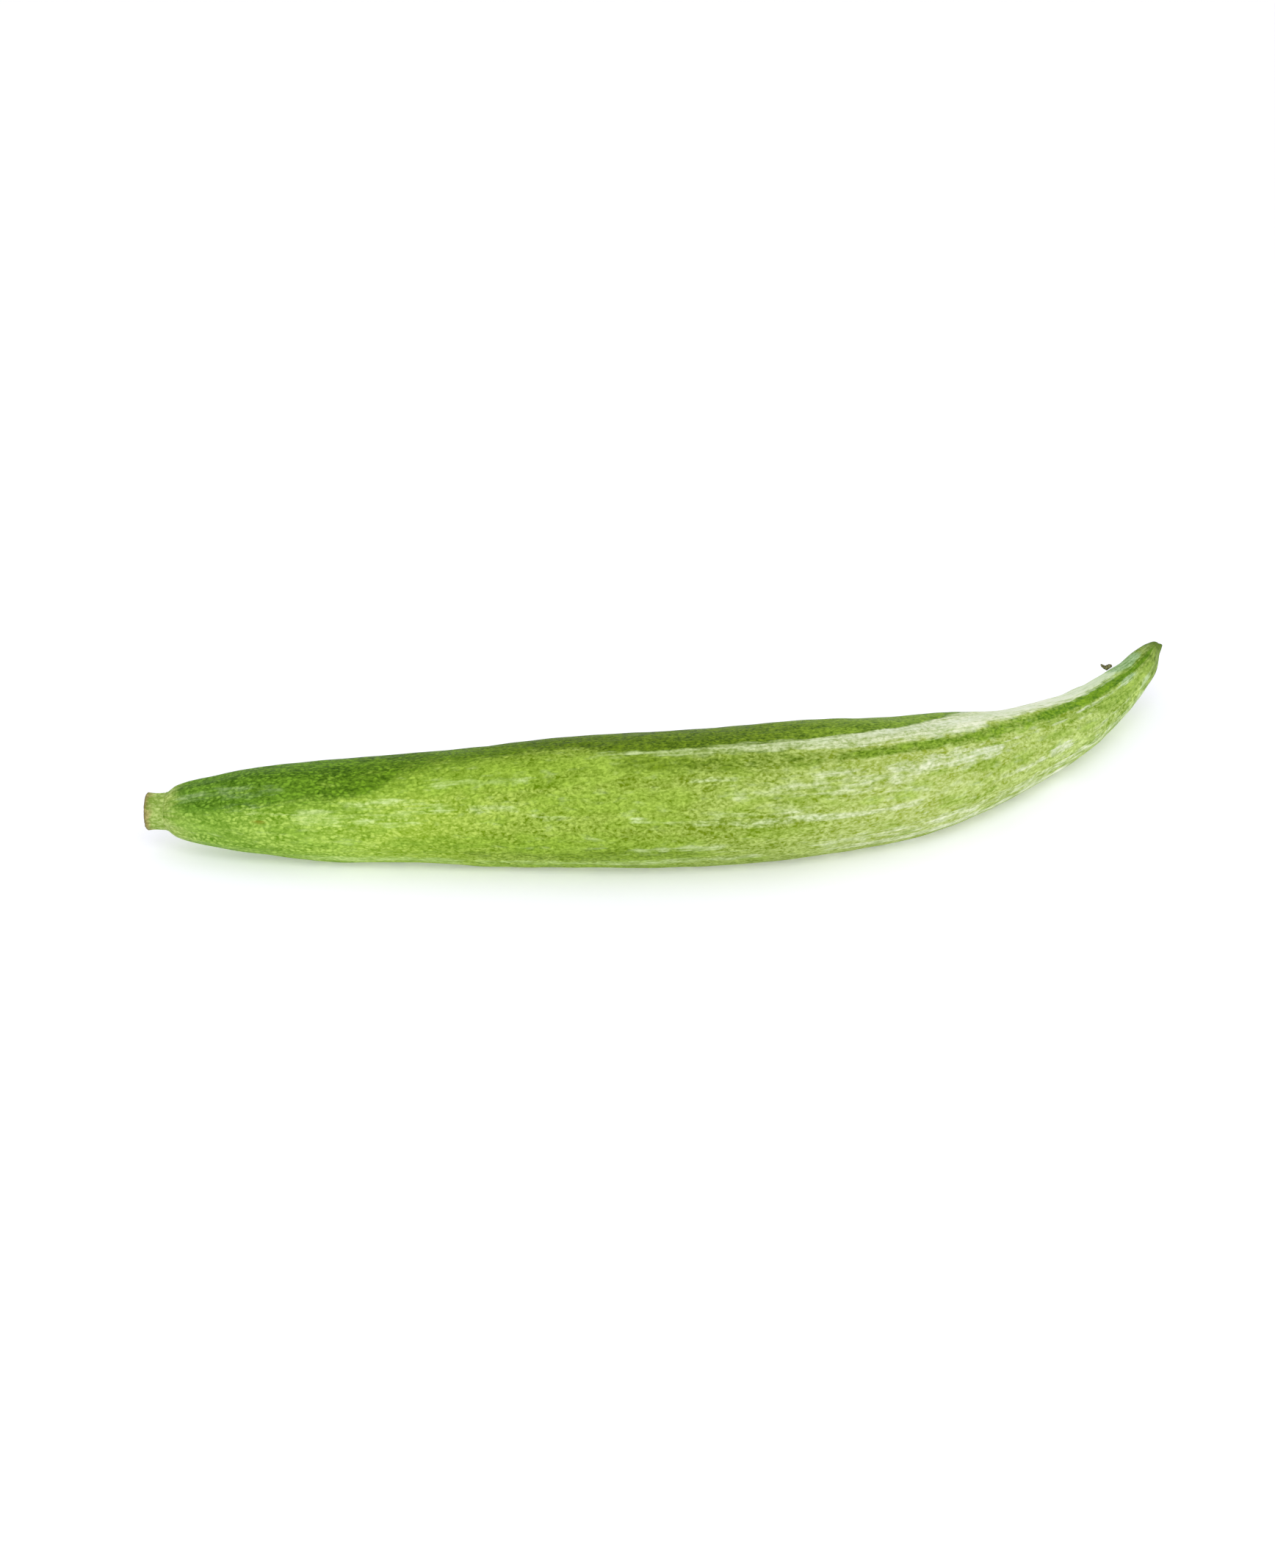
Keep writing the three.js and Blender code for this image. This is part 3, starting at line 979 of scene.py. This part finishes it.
# %% Tone of the flecks
def fleck_tone(finish, dots):
    flecks = finish.attribute("flecks", "Vector")
    sockets = {"Vector": flecks, "Scale": 0.6, "Detail": 1.0}
    bend = finish.node("ShaderNodeTexNoise", {}, sockets, "Color")
    bent = finish.scaled(bend, (1.3, 1.3, 0.8), flecks)
    cells = finish.cells(bent, 1.0)
    brightness = finish.node("ShaderNodeSeparateColor", {}, {0: cells.twin("Color")})
    spots = finish.step(cells, 0.64, 0.14) * (0.25 + brightness * 0.9)
    crumbs = finish.step(finish.cells(bent, 1.9), 0.62, 0.15)
    maze = finish.node("ShaderNodeTexNoise", {}, {"Vector": bent, "Scale": 1.3, "Detail": 1.5}) - 0.5
    return spots * (0.45 + dots * 0.7) + crumbs * 0.35 + maze * (2.7 - dots * 1.3) - 0.2 - dots * 0.1


# %% [markdown]
# Larger noises make the pattern uneven: clouds of two sizes, a fray that roughens the edges of the
# strokes, and fibre, which is drawn out along the fruit. They are made once and shared.


# %% Noises of the skin
def skin_noises(finish):
    even = finish.attribute("even", "Vector")
    skin = SimpleNamespace()
    skin.along = finish.node("ShaderNodeSeparateXYZ", {}, {0: even}, "Z") * (1 / LENGTH)
    skin.clouds = finish.noise(even, 9, 22, seed=1) - 0.5
    skin.small_clouds = finish.noise(even, 3.2, 6, seed=2, detail=2.0) - 0.5
    skin.fray = finish.noise(even, 1.1, 5, seed=3) - 0.5
    skin.fibre = finish.noise(even, 0.9, 18, seed=4) - 0.5
    skin.frayed = skin.fray * 1.1 + skin.small_clouds * 1.3
    skin.drift = finish.step(finish.noise(even, 5, 15, seed=8), 0.5, 0.7) * 0.7
    mist = finish.noise(even, 2.2, 6, seed=9, detail=2.0) + skin.clouds * 0.4
    skin.mist = finish.step(mist, 0.55, 0.95) * 0.4
    skin.near_tip = finish.step(skin.along + skin.clouds * 0.3, 0.66, 0.84)
    skin.near_stalk = finish.step(skin.along, 0.36, 0.16)
    return skin


# %% Green skin, with its fresh clouds
def two_tone(finish, skin, tone, net, flecks):
    return finish.mix(tone, finish.ramp(skin.along, net), finish.ramp(skin.along, flecks))


def green_skin(finish, skin):
    fresh = finish.step(finish.attribute("fresh") + skin.frayed + skin.clouds * 0.8, -0.2, 0.8) * 0.8
    fresh = fresh + skin.drift * (1 - fresh)
    flecks = fleck_tone(finish, skin.near_stalk) * (1 - skin.near_tip * 0.3) * (1 - fresh * 0.3)
    streaks = skin.fibre * (skin.near_tip * 0.6 + 0.25)
    fine = flecks + skin.clouds + skin.small_clouds * (1 + skin.near_tip * 0.8) + streaks
    tone = fine * 0.78 + 0.5
    colour = two_tone(finish, skin, tone, NET, FLECK)
    return finish.mix(fresh, colour, two_tone(finish, skin, tone, FRESH_NET, FRESH_FLECK)), tone


# %% [markdown]
# The strokes go on in layers, as a painter lays them: deep green first, then pale, cool and milky,
# with a thin milky mist over all but the deep green, and at last the brown blemishes and the dried
# scar. The noise is added to the depth inside the stroke before the step finds its edge.


# %% Layers of strokes
def add_strokes(finish, skin, tone, colour):
    # the deep green layer also lays the painted shade along the back
    deep = finish.step(finish.attribute("deep") + skin.frayed + skin.clouds * 0.5, -0.2, 0.7)
    colour = finish.mix(deep * 0.97, colour, two_tone(finish, skin, tone, DEEP_NET, DEEP_FLECK))

    # the pale layer also lays the painted floor bounce light on the underside
    pale = finish.step(finish.attribute("pale") + skin.frayed + skin.fibre * 0.8, -0.1, 0.85)
    pale_tone = tone * (0.8 - skin.near_tip * 0.3) + skin.fibre * 1.2 + skin.near_tip * 0.45 + 0.1
    colour = finish.mix(pale * 0.9, colour, two_tone(finish, skin, pale_tone, PALE_NET, PALE_FLECK))

    cool = finish.step(finish.attribute("cool") + skin.frayed, -0.1, 0.75) * 0.7
    colour = finish.mix(cool, colour, two_tone(finish, skin, tone, COOL_NET, COOL_FLECK))

    milky = finish.attribute("milky") + skin.frayed * 1.3 + skin.fibre + tone * 0.5 - 0.25
    milky = finish.step(milky, -0.3, 1.4) * (0.4 + tone * 0.4) + skin.mist * (1 - deep)
    colour = finish.mix(milky, colour, finish.ramp(skin.along, MILK))

    brown = finish.step(finish.attribute("brown") + skin.frayed, -0.2, 0.6) * 0.5
    colour = finish.mix(brown, colour, BROWN)
    scar = finish.step(skin.along + skin.fray * 0.02, 0.984, 0.998) * 0.65
    return finish.mix(scar, colour, SCAR)


# %% Paint the fruit
def paint_fruit():
    finish = Finish("gourd_skin", {"Specular IOR Level": 0.05})
    skin = skin_noises(finish)
    colour, tone = green_skin(finish, skin)
    colour = add_strokes(finish, skin, tone, colour)
    finish.set({"Base Color": colour, "Roughness": 0.48 + skin.small_clouds * 0.2 + tone * 0.06})
    finish.bump(tone * 0.5 + skin.fray * 0.5 + skin.fibre * 0.4, 0.0002)
    return finish.material


fruit.data.materials.append(paint_fruit())
print("skin:", len(fruit.data.materials[0].node_tree.nodes), "nodes")

# %% [markdown]
# ## The stalk stub
#
# The stub carries the flecks of the skin on, and dries to an olive brown towards its cut. The edge
# of the cut is darker. The face shows the cut ends of fibres, in a ring round a darker middle. Its
# pattern lies on labels that run across the stalk, because labels that run along it would smear the
# face into rays.


# %% Side of the stalk
def stalk_side(finish, stub):
    tone = fleck_tone(finish, 1.0) + stub.lines * 1.2 + stub.blotch * 1.4 + 0.5
    colour = finish.mix(tone, paint(128, 158, 58), paint(186, 208, 120))
    dried = finish.step(stub.back - stub.blotch * 4 - stub.lines * 2, 3.4, 0.6) * 0.85
    colour = finish.mix(dried, colour, finish.mix(tone, paint(122, 116, 58), paint(184, 168, 106)))
    edge = finish.step(stub.back - stub.blotch, 0.9, 0.2) * 0.7
    return finish.mix(edge, colour, paint(112, 98, 70))


# %% Cut face of the stalk
def stalk_face(finish, stub):
    colour = finish.mix(finish.step(stub.crumbs, -0.2, 0.2), paint(154, 138, 88), paint(202, 190, 138))
    colour = finish.mix(stub.strands * 0.65, colour, paint(112, 98, 56))
    pith = finish.step(stub.reach + stub.crumbs * 0.3, 0.42, 0.15) * 0.7
    colour = finish.mix(pith, colour, paint(122, 108, 66))
    dry_rim = finish.step(stub.reach + stub.crumbs * 0.1, 0.84, 0.96) * 0.8
    return finish.mix(dry_rim, colour, paint(126, 118, 70))


# %% Paint the stalk stub
def paint_stalk():
    finish = Finish("gourd_stalk", {"Specular IOR Level": 0.1})
    even = finish.attribute("even", "Vector")
    grain = finish.attribute("grain", "Vector")
    face = finish.attribute("face")
    stub = SimpleNamespace(reach=finish.attribute("reach"))
    stub.back = finish.node("ShaderNodeSeparateXYZ", {}, {0: even}, "Z")
    stub.blotch = finish.noise(even, 5, 3, seed=11) - 0.5
    stub.lines = finish.noise(even, 1.1, 9, seed=12) - 0.5
    stub.crumbs = finish.noise(grain, 0.5, 0.5, seed=13) - 0.5
    bundles = finish.step(finish.cells(grain, 0.8) + stub.crumbs * 0.4, 0.5, 0.15)
    stub.strands = bundles * finish.step(stub.reach, 0.3, 0.5)
    colour = finish.mix(face, stalk_side(finish, stub), stalk_face(finish, stub))
    finish.set({"Base Color": colour, "Roughness": 0.6 + stub.blotch * 0.2})
    finish.bump(stub.lines * (1 - face) + (stub.crumbs + stub.strands * 0.5) * face, 0.0003)
    return finish.material


stalk.data.materials.append(paint_stalk())
print("stalk:", len(stalk.data.materials[0].node_tree.nodes), "nodes")

# %% [markdown]
# ## The dry scrap
#
# The scrap is dead and dry: brown with paler blotches, and rough. One noise gives it its colour, its
# roughness and its creases.


# %% Paint the dry scrap
def paint_scrap():
    finish = Finish("dry_tendril", {})
    label = finish.attribute("unbent", "Vector")
    blotch = finish.noise(label, 0.6, 0.6, seed=21)
    colour = finish.mix(finish.step(blotch, 0.35, 0.65), paint(70, 62, 34), paint(142, 142, 92))
    finish.set({"Base Color": colour, "Roughness": 0.75 + blotch * 0.2})
    finish.bump(blotch, 0.0002)
    return finish.material


scrap.data.materials.append(paint_scrap())
print("scrap:", len(scrap.data.materials[0].node_tree.nodes), "nodes")

# %% [markdown]
# ## The studio
#
# The gourd lies on a white floor under soft light from everywhere, the way a catalogue shows food.
# A white sky does most of it, and one large soft lamp in front and above adds a little shape. The
# floor is a shade bluer than white and glows a little itself, so that it stays bright and the shadow
# on it stays pale and narrow.

# %% Floor
FLOOR_SIZE = 14.0  # m
FLOOR_DROP = 0.00005  # m, so that the pressed flat and the floor don't share a plane
FLOOR_COLOUR = paint(239, 239, 251)
FLOOR_GLOW = 0.28
WHITE = (1, 1, 1, 1)

half = FLOOR_SIZE / 2
corners = [(x, y, -FLOOR_DROP) for x, y in ((-half, -half), (half, -half), (half, half), (-half, half))]
floor_mesh = bpy.data.meshes.new("studio_floor")
floor_mesh.from_pydata(corners, [], [(0, 1, 2, 3)])
floor = bpy.data.objects.new("studio_floor", floor_mesh)
bpy.context.scene.collection.objects.link(floor)
glow = {"Emission Color": WHITE, "Emission Strength": FLOOR_GLOW}
floor_finish = Finish("studio_floor", {"Base Color": FLOOR_COLOUR, "Roughness": 0.9, **glow})
floor_mesh.materials.append(floor_finish.material)
print("floor:", FLOOR_SIZE, "m each way")

# %% Sky and lamp
SKY_STRENGTH = 0.79
LAMP_PLACE = (0.1, -1.2, 1.2)  # m
LAMP_WIDTH, LAMP_HEIGHT = 1.2, 0.6  # m
LAMP_POWER = 7.2  # W

world = bpy.data.worlds.new("white_sky")
world.use_nodes = True
background = world.node_tree.nodes["Background"]
background.inputs["Color"].default_value = WHITE
background.inputs["Strength"].default_value = SKY_STRENGTH
bpy.context.scene.world = world
bpy.context.scene.view_settings.view_transform = "Standard"

lamp = bpy.data.lights.new("front_softbox", "AREA")
lamp.shape = "RECTANGLE"
lamp.size = LAMP_WIDTH
lamp.size_y = LAMP_HEIGHT
lamp.energy = LAMP_POWER
softbox = bpy.data.objects.new("front_softbox", lamp)
softbox.location = LAMP_PLACE
to_middle = (cad_low + cad_high) / 2 - Vector(LAMP_PLACE)
softbox.rotation_euler = to_middle.to_track_quat("-Z", "Y").to_euler()
bpy.context.scene.collection.objects.link(softbox)
print("lamp:", round(to_middle.length, 2), "m from the middle of the gourd")

# %% [markdown]
# ## The camera
#
# A long lens from in front and a little above flattens the bend into a gentle sweep. It aims at a
# point low on the front of the object's box.

# %% Aim the camera
CAMERA_DISTANCE = 1.5  # m
CAMERA_ELEVATION = math.radians(25)
CAMERA_LENS = 100.0  # mm
AIM = (0.4643, 0.137, 0.617)  # as shares of the box

aim = Vector([low + share * (high - low) for low, high, share in zip(cad_low, cad_high, AIM)])
camera_data = bpy.data.cameras.new("camera")
camera_data.lens = CAMERA_LENS
camera = bpy.data.objects.new("camera", camera_data)
back_off = Vector((0, -math.cos(CAMERA_ELEVATION), math.sin(CAMERA_ELEVATION)))
camera.location = aim + CAMERA_DISTANCE * back_off
camera.rotation_euler = (-back_off).to_track_quat("-Z", "Y").to_euler()
bpy.context.scene.collection.objects.link(camera)
bpy.context.scene.camera = camera
print("camera at", [round(value, 3) for value in camera.location])
